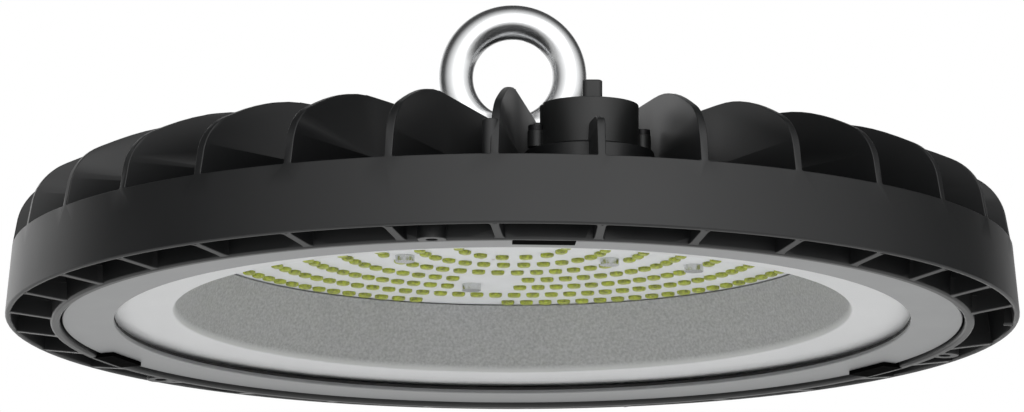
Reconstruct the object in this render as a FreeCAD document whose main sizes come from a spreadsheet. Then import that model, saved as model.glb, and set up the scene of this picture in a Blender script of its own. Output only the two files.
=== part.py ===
import FreeCAD, Part
import Sketcher
import math
import os
import re

# High bay light: a round die-cast heat sink with thirty offset fins, a rim band, a lens seat
# on its underside, a driver well with a lid in its middle, and a ring eye bolt to hang it by.
# Frame: origin at the centre of the lens seat's bottom edge, +Z up, the port cap towards -Y.
# Lengths are millimetres and angles are degrees, counter-clockwise from +X seen from above.

SIZES = (
    # Rim band round the outside, which leans in a little towards its top
    ("band_radius", 155.9),
    ("band_draft", 2.1),
    ("band_wall", 1.8),
    ("band_height", 21.6),
    ("band_lift", 2.3),
    ("band_chamfer", 0.5),
    # Lens seat: the inner ring, and the pan that steps up from it to the plate
    ("seat_radius", 142.0),
    ("seat_wall", 3.0),
    ("seat_chamfer", 0.6),
    ("pan_wall", 3.0),
    ("cavity_mouth", 110.0),
    ("cavity_throat", 103.0),
    ("plate_thickness", 4.0),
    # Fins: straight, and set off the axis so that they swirl
    ("fin_count", 30),
    ("fin_offset", 13.8),
    ("fin_rim_angle", -92.0),
    ("fin_root_width", 2.6),
    ("fin_tip_width", 1.7),
    ("fin_foot_width", 2.1),
    ("fin_foot_chamfer", 0.5),
    ("crown_height", 52.3),
    ("crown_edge", 31.3),
    ("crown_corner", 13.0),
    ("crown_flat", 105.0),
    # One spoke is cut short for a safety cord and leaves a stub on the band
    ("cut_spoke", 8),
    ("cut_height", 14.0),
    ("cut_stub", 2.5),
    # Guard lugs on the outside of the seat
    ("lug_reach", 143.0),
    ("lug_radius", 4.35),
    ("lug_height", 9.0),
    ("lug_hole", 1.8),
    ("lug_hole_depth", 8.0),
    ("lug_angle", -99.7),
    ("lug_count", 3),
    # Trim ring and the clips that hold it up
    ("trim_inner", 122.4),
    ("trim_outer", 138.3),
    ("trim_lift", 1.3),
    ("trim_thickness", 1.2),
    ("trim_chamfer", 0.25),
    ("clip_width", 18.8),
    ("clip_inner", 133.2),
    ("clip_leg", 1.0),
    ("clip_rise", 6.0),
    ("clip_angle", -86.0),
    ("clip_count", 3),
    ("fit_gap", 0.1),
    # Glass, its gasket and the reflector
    ("gasket_lip", 0.8),
    ("gasket_inner", 121.0),
    ("gasket_upper_inner", 127.0),
    ("gasket_outer", 137.0),
    ("glass_radius", 134.0),
    ("glass_thickness", 3.0),
    ("glass_chamfer", 0.4),
    ("glass_gap", 0.2),
    ("reflector_mouth", 104.2),
    ("reflector_throat", 96.6),
    ("reflector_flange", 137.0),
    ("reflector_wall", 0.8),
    ("reflector_gap", 0.3),
    # Board with its chips, pad and screws
    ("board_radius", 97.8),
    ("board_thickness", 1.6),
    ("board_drop", 20.5),
    ("pad_radius", 96.0),
    ("pad_thickness", 0.3),
    ("chip_length", 3.5),
    ("chip_width", 2.8),
    ("chip_height", 0.8),
    ("first_chip_ring", 16.5),
    ("chip_ring_pitch", 12.47),
    ("board_screw_head", 3.0),
    ("board_screw_head_height", 1.9),
    ("board_screw_shank", 1.5),
    ("board_screw_length", 5.0),
    ("board_screw_gap", 0.1),
    ("outer_screw_reach", 64.4),
    ("outer_screw_angle", -101.4),
    ("outer_screw_count", 5),
    ("inner_screw_reach", 36.6),
    ("inner_screw_angle", -35.0),
    ("inner_screw_count", 3),
    # Driver well in the middle of the plate, and its lid
    ("well_radius", 58.0),
    ("well_wall", 3.0),
    ("well_depth", 14.0),
    ("hub_radius", 11.0),
    ("lid_radius", 60.5),
    ("lid_thickness", 3.6),
    ("lid_boss_radius", 16.0),
    ("lid_boss_height", 2.2),
    ("lid_boss_slope", 2.0),
    ("lid_gasket_inner", 49.5),
    ("lid_gasket_thickness", 1.0),
    ("lid_screw_reach", 54.0),
    ("lid_screw_angle", 15.0),
    ("lid_screw_count", 6),
    ("lid_post_radius", 4.2),
    ("lid_screw_head", 2.8),
    ("lid_screw_head_height", 2.0),
    ("lid_screw_shank", 1.5),
    ("lid_screw_length", 10.0),
    ("lid_screw_gap", 0.2),
    # Ring eye bolt with its sealing washer
    ("eye_outer", 22.5),
    ("eye_inner", 12.5),
    ("eye_collar_radius", 12.5),
    ("eye_collar_height", 3.0),
    ("eye_neck_radius", 7.5),
    ("eye_neck_height", 9.0),
    ("eye_shank_radius", 5.0),
    ("eye_shank_length", 17.0),
    ("eye_shank_gap", 0.1),
    ("eye_shank_end_gap", 1.5),
    ("eye_seal_thickness", 1.0),
    # Driver board on its posts in the well
    ("sheet_thickness", 0.4),
    ("sheet_radius", 49.0),
    ("sheet_gap", 0.4),
    ("driver_radius", 48.5),
    ("driver_thickness", 1.6),
    ("driver_hole", 12.5),
    ("post_radius", 3.0),
    ("post_height", 3.0),
    ("post_reach", 42.0),
    ("post_angle", 45.0),
    ("post_count", 4),
    ("driver_screw_head", 2.6),
    ("driver_screw_head_height", 1.8),
    ("driver_screw_shank", 1.25),
    ("driver_screw_length", 5.2),
    ("core_length", 24.0),
    ("core_width", 20.0),
    ("core_height", 7.6),
    ("core_window", 5.0),
    ("core_limb", 4.0),
    ("core_reach", 29.0),
    ("coil_proud", 0.9),
    ("coil_gap", 0.1),
    ("can_radius", 4.0),
    ("can_height", 9.0),
    ("can_reach", 34.0),
    ("can_angle", 165.0),
    ("can_count", 3),
    ("can_spread", 30.0),
    ("choke_outer", 7.0),
    ("choke_inner", 3.0),
    ("choke_height", 6.5),
    ("choke_reach", 30.0),
    ("block_length", 15.0),
    ("block_width", 8.0),
    ("block_height", 8.5),
    ("block_reach", 31.0),
    ("block_port", 1.4),
    ("block_port_pitch", 5.0),
    ("block_port_depth", 5.0),
    # Link between the driver board and the chip board, through the plate
    ("link_reach", 22.7),
    ("link_angle", 110.0),
    ("link_radius", 4.5),
    ("link_gap", 0.1),
    ("link_pin_radius", 0.5),
    ("link_pin_pitch", 4.0),
    ("link_pin_gap", 0.08),
    ("link_pin_proud", 1.2),
    # Supply inlet through the far side of the well's wall, in line with the gap between two fins
    ("inlet_fin_gap", 15.5),
    ("inlet_pad_width", 20.0),
    ("inlet_pad_reach", 63.0),
    ("inlet_room", 84.0),
    ("inlet_radius", 5.0),
    ("inlet_gap", 0.1),
    ("inlet_bore", 3.6),
    ("inlet_seal_radius", 6.3),
    ("inlet_seal_thickness", 1.2),
    ("inlet_flats", 13.0),
    ("inlet_hex_length", 4.0),
    ("inlet_neck_radius", 4.6),
    ("inlet_neck_length", 6.0),
    ("inlet_nut_flats", 12.6),
    ("inlet_nut_length", 8.0),
    ("inlet_dome_radius", 3.8),
    ("inlet_dome_length", 3.0),
    ("inlet_mouth", 2.6),
    ("inlet_grip_bore", 2.2),
    # Control port: a boss between two fins, with a socket under a screwed cap
    ("port_reach", 107.0),
    ("port_angle", -77.5),
    ("port_boss_radius", 19.6),
    ("port_clearance", 0.7),
    ("port_wire_hole", 3.0),
    ("port_cap_radius", 14.9),
    ("port_cap_height", 12.8),
    ("port_cap_wall", 2.0),
    ("port_cap_roof", 2.4),
    ("port_cap_round", 0.8),
    ("port_gasket_thickness", 1.0),
    ("port_gasket_inner", 11.4),
    ("port_ear_reach", 16.4),
    ("port_ear_radius", 2.6),
    ("port_ear_height", 5.2),
    ("port_grip_width", 5.0),
    ("port_grip_length", 18.0),
    ("port_grip_height", 9.0),
    ("port_grip_round", 1.4),
    ("port_screw_head", 2.4),
    ("port_screw_head_height", 1.6),
    ("port_screw_shank", 1.2),
    ("port_screw_depth", 6.0),
    ("port_screw_gap", 0.1),
    ("socket_radius", 9.0),
    ("socket_height", 8.0),
    ("socket_pin_hole", 1.3),
    ("socket_pin_reach", 4.5),
    ("socket_pin_count", 3),
    ("socket_pin_depth", 6.0),
)

# Heights and places that follow from the sizes above
DERIVED = (
    ("band_top", "band_lift + band_height"),
    ("fin_reach", "band_radius - band_draft"),
    ("fin_turn", "fin_rim_angle - asin(fin_offset / fin_reach) / 1 deg"),
    ("seat_inner", "seat_radius - seat_wall"),
    ("trim_top", "trim_lift + trim_thickness"),
    ("glass_bottom", "trim_top + gasket_lip"),
    ("glass_top", "glass_bottom + glass_thickness"),
    ("gasket_top", "glass_top + gasket_lip"),
    ("shoulder_height", "gasket_top + reflector_wall"),
    ("shoulder_top", "shoulder_height + pan_wall"),
    ("board_bottom", "gasket_top + board_drop"),
    ("board_top", "board_bottom + board_thickness"),
    ("plate_bottom", "board_top + pad_thickness"),
    ("plate_top", "plate_bottom + plate_thickness"),
    ("well_outer", "well_radius + well_wall"),
    ("well_top", "plate_top + well_depth"),
    ("lid_bottom", "well_top + lid_gasket_thickness"),
    ("lid_top", "lid_bottom + lid_thickness"),
    ("lid_boss_top", "lid_top + lid_boss_height"),
    ("eye_seat", "lid_boss_top + eye_seal_thickness"),
    ("eye_bore_bottom", "eye_seat - eye_shank_length - eye_shank_end_gap"),
    ("driver_bottom", "plate_top + post_height"),
    ("driver_top", "driver_bottom + driver_thickness"),
    ("inlet_height", "(plate_top + well_top) / 2"),
    ("inlet_turn", "fin_turn + inlet_fin_gap * 360 / fin_count - 90"),
    ("inlet_hex_start", "inlet_pad_reach + inlet_seal_thickness"),
    ("inlet_hex_end", "inlet_hex_start + inlet_hex_length"),
    ("port_cap_bottom", "plate_top + port_gasket_thickness"),
    ("crown_run", "fin_reach - crown_corner - crown_flat"),
    ("crown_rise", "crown_height - crown_edge"),
    (
        "crown_arc",
        "(crown_run ^ 2 + crown_rise ^ 2 - crown_corner ^ 2) / (2 * (crown_rise - crown_corner))",
    ),
    ("crown_join_across", "crown_flat + crown_arc * crown_run / (crown_arc - crown_corner)"),
    (
        "crown_join_up",
        "crown_height - crown_arc + crown_arc * (crown_arc - crown_rise) / (crown_arc - crown_corner)",
    ),
)

# Chips in each ring, from the middle out: how many, and the angle of the first
CHIP_RINGS = (
    (14, -101.0),
    (29, -83.0),
    (43, -87.9),
    (57, -84.8),
    (73, -88.0),
    (85, -89.6),
    (98, -90.9),
)
# Blank stretches in the chip rings: ring, first and last angle
CHIP_BLANKS = (
    (3, -109.5, -85.2),
    (4, -107.3, -88.2),
    (6, -105.9, -91.1),
)
CHIP_SCREW_ROOM = 5.6

doc = FreeCAD.newDocument("HighBayLight")
sheet = doc.addObject("Spreadsheet::Sheet", "Sizes")
for row, (alias, value) in enumerate(SIZES, start=1):
    sheet.set("A%d" % row, alias)
    sheet.set("B%d" % row, str(value))
    sheet.setAlias("B%d" % row, alias)
for row, (alias, formula) in enumerate(DERIVED, start=1):
    sheet.set("C%d" % row, alias)
    sheet.set("D%d" % row, "=" + formula)
    sheet.setAlias("D%d" % row, alias)
doc.recompute()


def linked(formula):
    """The formula with each of the sheet's names written as a link to the sheet."""
    return re.sub(r"[a-z]+(?:_[a-z]+)+", lambda name: "Sizes." + name.group(), formula)


def number(formula):
    """The number that a formula of the sheet's names comes to."""
    return float(sheet.evalExpression(linked(formula)))


def bind(item, target, formula):
    """Ties one property of a feature to a formula."""
    item.setExpression(target, linked(formula))


def new_body(label):
    """An empty body for one sub-part."""
    body = doc.addObject("PartDesign::Body", label)
    body.Label = label
    return body


def place(body, across="0", back="0", up="0", turn="0"):
    """Puts a body, made about its own origin, at its place on the light."""
    axis = FreeCAD.Vector(0, 0, 1)
    middle = FreeCAD.Vector(number(across), number(back), number(up))
    body.Placement = FreeCAD.Placement(middle, FreeCAD.Rotation(axis, number(turn)))
    for target, formula in (("x", across), ("y", back), ("z", up)):
        bind(body, "Placement.Base." + target, formula)
    if turn != "0":
        bind(body, "Placement.Rotation.Angle", turn)


def origin_item(body, role):
    """A plane or axis of the body's own origin."""
    return next(item for item in body.Origin.OriginFeatures if item.Role == role)


def new_sketch(body, name, role, lift="0", turn="0"):
    """A sketch on one of the body's origin planes, lifted off it and turned about +Z."""
    sketch = body.newObject("Sketcher::SketchObject", name)
    sketch.AttachmentSupport = [(origin_item(body, role), "")]
    sketch.MapMode = "FlatFace"
    axis = FreeCAD.Vector(0, 0, 1) if role == "XY_Plane" else FreeCAD.Vector(0, 1, 0)
    turned = FreeCAD.Rotation(axis, number(turn))
    # The lift runs along the sketch's own normal, which turns with it
    offset = turned.multVec(FreeCAD.Vector(0, 0, number(lift)))
    sketch.AttachmentOffset = FreeCAD.Placement(offset, turned)
    if turn != "0":
        bind(sketch, "AttachmentOffset.Rotation.Angle", turn)
    if role == "XY_Plane":
        bind(sketch, "AttachmentOffset.Base.z", lift)
    else:
        bind(sketch, "AttachmentOffset.Base.x", "(%s) * sin(%s)" % (lift, turn))
        bind(sketch, "AttachmentOffset.Base.z", "(%s) * cos(%s)" % (lift, turn))
    return sketch


def pin(sketch, segment, end, across, up):
    """Holds one point of a sketch at the place that two formulas give."""
    for kind, formula, axis in (("DistanceX", across, -2), ("DistanceY", up, -1)):
        if formula == "0":
            sketch.addConstraint(Sketcher.Constraint("PointOnObject", segment, end, axis))
        else:
            found = sketch.addConstraint(Sketcher.Constraint(kind, segment, end, number(formula)))
            bind(sketch, "Constraints[%d]" % found, formula)


def arc_between(start, end, radius):
    """An arc from start to end; its centre is on the left for a radius above zero."""
    chord = end - start
    side = FreeCAD.Vector(-chord.y, chord.x, 0).normalize() * math.copysign(1, radius)
    middle = (start + end) / 2
    centre = middle + side * math.sqrt(radius ** 2 - chord.Length ** 2 / 4)
    crest = centre - side * abs(radius)
    return Part.Arc(start, crest, end)


def outline(sketch, points):
    """A closed outline. A point is (across, up), or (across, up, radius) to come to it by an arc."""
    corners = [FreeCAD.Vector(number(point[0]), number(point[1]), 0) for point in points]
    ends = []
    for index, point in enumerate(points):
        start, end = corners[index - 1], corners[index]
        if len(point) == 3:
            segment = sketch.addGeometry(arc_between(start, end, number(point[2])), False)
            radius = Sketcher.Constraint("Radius", segment, abs(number(point[2])))
            bind(sketch, "Constraints[%d]" % sketch.addConstraint(radius), "abs(%s)" % point[2])
            first, last = (sketch.getPoint(segment, end_point) - start for end_point in (1, 2))
            swapped = first.Length > last.Length
        else:
            segment = sketch.addGeometry(Part.LineSegment(start, end), False)
            swapped = False
        ends.append((segment, 2, 1) if swapped else (segment, 1, 2))
    for index, point in enumerate(points):
        segment, _, last = ends[index]
        following, first, _ = ends[(index + 1) % len(points)]
        sketch.addConstraint(Sketcher.Constraint("Coincident", segment, last, following, first))
        pin(sketch, segment, last, point[0], point[1])
    return sketch


def box_outline(sketch, left, right, bottom, top):
    """A closed rectangle between four formulas."""
    return outline(sketch, ((left, bottom), (right, bottom), (right, top), (left, top)))


def hexagon(sketch, across, up, flats):
    """A closed hexagon about a point, with two flats level."""
    half = "(%s) / 2" % flats
    corner = "(%s) / sqrt(3)" % flats
    offsets = ((corner, "0"), (corner + " / 2", half), ("-" + corner + " / 2", half))
    offsets += (("-" + corner, "0"), ("-" + corner + " / 2", "-" + half), (corner + " / 2", "-" + half))
    points = [("%s + %s" % (across, step[0]), "%s + %s" % (up, step[1])) for step in offsets]
    return outline(sketch, points)


def circle(sketch, across, up, radius):
    """A circle held at its centre."""
    middle = FreeCAD.Vector(number(across), number(up), 0)
    segment = sketch.addGeometry(Part.Circle(middle, FreeCAD.Vector(0, 0, 1), number(radius)), False)
    pin(sketch, segment, 3, across, up)
    found = sketch.addConstraint(Sketcher.Constraint("Radius", segment, number(radius)))
    bind(sketch, "Constraints[%d]" % found, radius)
    return sketch


def check_change(body, feature, sign):
    """Stops when a feature that should add or take away material doesn't."""
    doc.recompute()
    base = feature.BaseFeature
    before = base.Shape.Volume if base else 0.0
    change = (feature.Shape.Volume - before) * sign
    if change <= 0:
        raise RuntimeError("%s: %s changes nothing" % (body.Label, feature.Name))


def extrude(body, sketch, length, kind="Pad", middle=False, back=False):
    """A pad or pocket of a sketch, to one side of it or to both."""
    feature = body.newObject("PartDesign::" + kind, sketch.Name + kind)
    feature.Profile = sketch
    bind(feature, "Length", length)
    if middle:
        feature.Midplane = True
    feature.Reversed = back
    check_change(body, feature, 1 if kind == "Pad" else -1)
    return feature


def spin(body, sketch, kind="Revolution"):
    """A full turn of a sketch about its own upright axis, added or cut."""
    feature = body.newObject("PartDesign::" + kind, sketch.Name + kind)
    feature.Profile = sketch
    feature.ReferenceAxis = (sketch, ["V_Axis"])
    feature.Angle = 360
    check_change(body, feature, 1 if kind == "Revolution" else -1)
    return feature


def repeat(body, features, count, step="0", whole=False):
    """Copies features, or the whole shape, round +Z: over a full turn or by a step in degrees."""
    pattern = body.newObject("PartDesign::PolarPattern", features[0].Name + "Round")
    if whole:
        pattern.TransformMode = "Whole shape"
    else:
        pattern.Originals = features
    pattern.Axis = (origin_item(body, "Z_Axis"), [""])
    pattern.Angle = 360
    if step != "0":
        pattern.Mode = "Spacing"
        bind(pattern, "Offset", step)
    bind(pattern, "Occurrences", count)
    body.Tip = pattern
    doc.recompute()
    return pattern


def ring_circles(body, name, lift, reach, angle, radius):
    """A sketch with one circle at a reach from the axis, along a turned line."""
    return circle(new_sketch(body, name, "XY_Plane", lift, angle), reach, "0", radius)


def drill(body, name, lift, reach, angle, radius, depth, count, back=False):
    """Holes from a level, down or up, copied round the axis."""
    sketch = ring_circles(body, name, lift, reach, angle, radius)
    hole = extrude(body, sketch, depth, "Pocket", back=back)
    if count != "1":
        repeat(body, [hole], count)


def studs(body, name, lift, reach, angle, radius, height, count):
    """Round posts or screw parts that stand up from a level, copied round the axis."""
    post = extrude(body, ring_circles(body, name, lift, reach, angle, radius), height)
    return repeat(body, [post], count)


def screws(body, name, seat, reach, angle, count, head, head_height, shank, length, head_down=False):
    """A group of like screws: a domed head on its seat, and a shank through it."""
    head_lift = "%s - %s" % (seat, head_height) if head_down else seat
    shank_lift = seat if head_down else "%s - %s" % (seat, length)
    cap = extrude(body, ring_circles(body, name + "Head", head_lift, reach, angle, head), head_height)
    stem = extrude(body, ring_circles(body, name + "Shank", shank_lift, reach, angle, shank), length)
    return repeat(body, [cap, stem], count)


# Heat sink: one die casting. Its base, band and fins are shaped apart and then joined.

def sink_base():
    """Plate, lens seat, driver well and bosses, with every hole that is screwed or drilled."""
    body = new_body("sink_base")
    blank = outline(new_sketch(body, "SinkBlank", "XZ_Plane"), (
        ("0", "0"),
        ("seat_radius - seat_chamfer", "0"),
        ("seat_radius", "seat_chamfer"),
        ("seat_radius", "shoulder_top"),
        ("cavity_mouth + pan_wall", "shoulder_top"),
        ("cavity_throat + pan_wall", "plate_top"),
        ("well_outer", "plate_top"),
        ("well_outer", "well_top"),
        ("0", "well_top"),
    ))
    spin(body, blank)

    # Bosses, lugs and the inlet's pad go in before the cavity and the well are cleared
    boss = ring_circles(body, "PortBoss", "shoulder_height", "port_reach", "port_angle", "port_boss_radius")
    extrude(body, boss, "plate_top - shoulder_height")
    studs(body, "GuardLug", "0", "lug_reach", "lug_angle", "lug_radius", "lug_height", "lug_count")

    pad = box_outline(
        new_sketch(body, "InletPad", "XY_Plane", "plate_top", "inlet_turn"),
        "-fin_offset - inlet_pad_width / 2", "-fin_offset + inlet_pad_width / 2",
        "well_radius / 2", "inlet_pad_reach")
    extrude(body, pad, "well_depth")

    cavity = outline(new_sketch(body, "Cavity", "XZ_Plane"), (
        ("0", "-pan_wall"),
        ("seat_inner + seat_chamfer", "-pan_wall"),
        ("seat_inner + seat_chamfer", "0"),
        ("seat_inner", "seat_chamfer"),
        ("seat_inner", "shoulder_height"),
        ("cavity_mouth", "shoulder_height"),
        ("cavity_throat", "plate_bottom"),
        ("0", "plate_bottom"),
    ))
    spin(body, cavity, "Groove")

    well = box_outline(
        new_sketch(body, "Well", "XZ_Plane"), "hub_radius", "well_radius", "plate_top", "well_top + pan_wall")
    spin(body, well, "Groove")
    studs(body, "LidPost", "plate_top", "lid_screw_reach", "lid_screw_angle", "lid_post_radius",
          "well_depth", "lid_screw_count")
    studs(body, "DriverPost", "plate_top", "post_reach", "post_angle", "post_radius",
          "post_height", "post_count")

    inlet = circle(
        new_sketch(body, "InletHole", "XZ_Plane", "-inlet_pad_reach", "inlet_turn"),
        "-fin_offset", "inlet_height", "inlet_radius + inlet_gap")
    extrude(body, inlet, "inlet_pad_reach - well_radius + 2 * well_wall", "Pocket", back=True)

    # The control port's boss has a way for its wires and two screw holes
    drill(body, "PortWire", "plate_top", "port_reach", "port_angle", "port_wire_hole",
          "plate_top - shoulder_height", "1")
    ears = new_sketch(body, "PortEarHoles", "XY_Plane", "plate_top", "port_angle")
    for side in ("port_ear_reach", "-port_ear_reach"):
        circle(ears, "port_reach", side, "port_screw_shank + port_screw_gap")
    extrude(body, ears, "port_screw_depth + port_screw_gap", "Pocket")

    drill(body, "LidHole", "well_top", "lid_screw_reach", "lid_screw_angle",
          "lid_screw_shank + board_screw_gap", "lid_screw_length - lid_screw_head_height", "lid_screw_count")
    drill(body, "PostHole", "driver_bottom", "post_reach", "post_angle",
          "driver_screw_shank + board_screw_gap", "driver_screw_length - driver_thickness", "post_count")
    drill(body, "EyeBore", "well_top", "0", "0", "eye_shank_radius + eye_shank_gap",
          "well_top - eye_bore_bottom", "1")
    for row in ("outer", "inner"):
        drill(body, row.title() + "Hole", "plate_bottom", row + "_screw_reach", row + "_screw_angle",
              "board_screw_shank + board_screw_gap", "board_screw_length - board_thickness",
              row + "_screw_count", back=True)
    drill(body, "LinkHole", "plate_top", "link_reach", "link_angle", "link_radius + link_gap",
          "plate_thickness", "1")
    drill(body, "LugHole", "0", "lug_reach", "lug_angle", "lug_hole", "lug_hole_depth", "lug_count",
          back=True)

    # Pockets in the seat's wall take the clips' legs
    pocket = box_outline(
        new_sketch(body, "ClipPocket", "XY_Plane", "0", "clip_angle"),
        "seat_inner - seat_wall", "seat_inner + clip_leg + 2 * fit_gap",
        "-clip_width / 2 - fit_gap", "clip_width / 2 + fit_gap")
    repeat(body, [extrude(body, pocket, "clip_rise + fit_gap", "Pocket", back=True)], "clip_count")
    return body


def sink_band():
    """The rim band, with a light chamfer on its bottom edges."""
    body = new_body("sink_band")
    band = outline(new_sketch(body, "Band", "XZ_Plane"), (
        ("band_radius - band_wall + band_chamfer", "band_lift"),
        ("band_radius - band_chamfer", "band_lift"),
        ("band_radius", "band_lift + band_chamfer"),
        ("fin_reach", "band_top"),
        ("fin_reach - band_wall", "band_top"),
        ("band_radius - band_wall", "band_lift + band_chamfer"),
    ))
    spin(body, band)
    return body


def sink_fins():
    """One fin, trimmed to the crown line and to the base, and copied round the axis."""
    body = new_body("sink_fins")
    # The section is thickest at the plate and thins to its tip and to its foot
    root = "sqrt((well_outer - well_wall / 2) ^ 2 - fin_offset ^ 2)"
    section = outline(new_sketch(body, "FinSection", "YZ_Plane", root, "fin_turn"), (
        ("fin_offset - fin_foot_width / 2 + fin_foot_chamfer", "band_lift"),
        ("fin_offset + fin_foot_width / 2 - fin_foot_chamfer", "band_lift"),
        ("fin_offset + fin_foot_width / 2", "band_lift + fin_foot_chamfer"),
        ("fin_offset + fin_root_width / 2", "plate_top"),
        ("fin_offset + fin_tip_width / 2", "crown_height"),
        ("fin_offset - fin_tip_width / 2", "crown_height"),
        ("fin_offset - fin_root_width / 2", "plate_top"),
        ("fin_offset - fin_foot_width / 2", "band_lift + fin_foot_chamfer"),
    ))
    extrude(body, section, "fin_reach - (%s)" % root)

    # Above the crown line, over the well and beyond the fins' reach the fin is cut away
    crown = outline(new_sketch(body, "Crown", "XZ_Plane"), (
        ("0", "well_top"),
        ("well_outer", "well_top"),
        ("well_outer", "crown_height"),
        ("crown_flat", "crown_height"),
        ("crown_join_across", "crown_join_up", "-crown_arc"),
        ("fin_reach", "crown_edge", "-crown_corner"),
        ("fin_reach", "band_top"),
        ("band_radius - band_wall / 2", "band_lift"),
        ("band_radius - band_wall / 2", "0"),
        ("band_radius + band_wall", "0"),
        ("band_radius + band_wall", "crown_height + band_wall"),
        ("0", "crown_height + band_wall"),
    ))
    spin(body, crown, "Groove")

    # Below, the fin ends half way into the wall of the base
    half = "pan_wall / 2"
    below = outline(new_sketch(body, "BaseRoom", "XZ_Plane"), (
        ("0", "0"),
        ("seat_radius - seat_wall / 2", "0"),
        ("seat_radius - seat_wall / 2", "shoulder_height + " + half),
        ("cavity_mouth + " + half, "shoulder_height + " + half),
        ("cavity_throat + " + half, "plate_top - plate_thickness / 2"),
        ("0", "plate_top - plate_thickness / 2"),
    ))
    trimmed = spin(body, below, "Groove")
    repeat(body, [trimmed], "fin_count", whole=True)

    # Two fins are cut back round the supply inlet, and one is cut round the port's cap
    room = box_outline(
        new_sketch(body, "InletRoom", "XY_Plane", "plate_top", "inlet_turn"),
        "-fin_offset - inlet_pad_width / 2", "-fin_offset + inlet_pad_width / 2",
        "well_radius / 2", "inlet_room")
    extrude(body, room, "crown_height", "Pocket", back=True)
    clear = ring_circles(
        body, "PortRoom", "plate_top", "port_reach", "port_angle", "port_cap_radius + port_clearance")
    extrude(body, clear, "crown_height", "Pocket", back=True)

    # One spoke is cut short, which leaves a stub on the band
    gap = box_outline(
        new_sketch(body, "SpokeGap", "XY_Plane", "0", "fin_turn + cut_spoke * 360 / fin_count"),
        "sqrt(seat_radius ^ 2 - fin_offset ^ 2)",
        "sqrt((band_radius - band_wall) ^ 2 - fin_offset ^ 2) - cut_stub",
        "fin_offset - fin_root_width", "fin_offset + fin_root_width")
    extrude(body, gap, "cut_height", "Pocket", back=True)
    return body


def heat_sink():
    """The whole casting, joined from its base, band and fins."""
    casting = doc.addObject("Part::MultiFuse", "heat_sink")
    casting.Label = "heat_sink"
    casting.Shapes = [sink_base(), sink_band(), sink_fins()]
    casting.Refine = True
    doc.recompute()
    return casting


# Lens side: trim ring, clips, gasket, glass and reflector

def trim_ring():
    body = new_body("trim_ring")
    profile = outline(new_sketch(body, "TrimProfile", "XZ_Plane"), (
        ("trim_inner + trim_chamfer", "0"),
        ("trim_outer - trim_chamfer", "0"),
        ("trim_outer", "trim_chamfer"),
        ("trim_outer", "trim_thickness"),
        ("trim_inner", "trim_thickness"),
        ("trim_inner", "trim_chamfer"),
    ))
    spin(body, profile)
    place(body, up="trim_lift")
    return body


def ring_clips():
    body = new_body("ring_clips")
    profile = outline(new_sketch(body, "ClipProfile", "XZ_Plane", turn="clip_angle"), (
        ("clip_inner", "0"),
        ("seat_inner + fit_gap + clip_leg", "0"),
        ("seat_inner + fit_gap + clip_leg", "clip_rise"),
        ("seat_inner + fit_gap", "clip_rise"),
        ("seat_inner + fit_gap", "trim_lift - fit_gap"),
        ("clip_inner", "trim_lift - fit_gap"),
    ))
    repeat(body, [extrude(body, profile, "clip_width", middle=True)], "clip_count")
    return body


def lens_gasket():
    body = new_body("lens_gasket")
    profile = outline(new_sketch(body, "GasketProfile", "XZ_Plane"), (
        ("gasket_inner", "0"),
        ("gasket_outer", "0"),
        ("gasket_outer", "2 * gasket_lip + glass_thickness"),
        ("gasket_upper_inner", "2 * gasket_lip + glass_thickness"),
        ("gasket_upper_inner", "gasket_lip + glass_thickness"),
        ("glass_radius + glass_gap", "gasket_lip + glass_thickness"),
        ("glass_radius + glass_gap", "gasket_lip"),
        ("gasket_inner", "gasket_lip"),
    ))
    spin(body, profile)
    place(body, up="trim_top")
    return body


def glass_lens():
    body = new_body("glass_lens")
    profile = outline(new_sketch(body, "GlassProfile", "XZ_Plane"), (
        ("0", "0"),
        ("glass_radius - glass_chamfer", "0"),
        ("glass_radius", "glass_chamfer"),
        ("glass_radius", "glass_thickness - glass_chamfer"),
        ("glass_radius - glass_chamfer", "glass_thickness"),
        ("0", "glass_thickness"),
    ))
    spin(body, profile)
    place(body, up="glass_bottom")
    return body


def reflector():
    body = new_body("reflector")
    profile = outline(new_sketch(body, "ReflectorProfile", "XZ_Plane"), (
        ("reflector_mouth", "0"),
        ("reflector_flange", "0"),
        ("reflector_flange", "reflector_wall"),
        ("reflector_mouth + reflector_wall", "reflector_wall"),
        ("reflector_throat + reflector_wall", "board_drop - reflector_gap"),
        ("reflector_throat", "board_drop - reflector_gap"),
    ))
    spin(body, profile)
    place(body, up="gasket_top")
    return body


# Chip board with its pad, screws and chips

def board_holes(body, name, top, thickness):
    """The screw holes and the link's hole, which the board and its pad share."""
    for row in ("outer", "inner"):
        drill(body, name + row.title(), top, row + "_screw_reach", row + "_screw_angle",
              "board_screw_shank + board_screw_gap", thickness, row + "_screw_count")


def led_board():
    body = new_body("led_board")
    disc = circle(new_sketch(body, "BoardDisc", "XY_Plane"), "0", "0", "board_radius")
    extrude(body, disc, "board_thickness")
    board_holes(body, "BoardHole", "board_thickness", "board_thickness")
    pins = new_sketch(body, "BoardPinHoles", "XY_Plane", "board_thickness", "link_angle")
    for side in ("link_pin_pitch / 2", "-link_pin_pitch / 2"):
        circle(pins, "link_reach", side, "link_pin_radius + link_pin_gap")
    extrude(body, pins, "board_thickness", "Pocket")
    place(body, up="board_bottom")
    return body


def thermal_pad():
    body = new_body("thermal_pad")
    disc = circle(new_sketch(body, "PadDisc", "XY_Plane"), "0", "0", "pad_radius")
    extrude(body, disc, "pad_thickness")
    board_holes(body, "PadHole", "pad_thickness", "pad_thickness")
    drill(body, "PadLinkHole", "pad_thickness", "link_reach", "link_angle", "link_radius + 2 * link_gap",
          "pad_thickness", "1")
    place(body, up="board_top")
    return body


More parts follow.
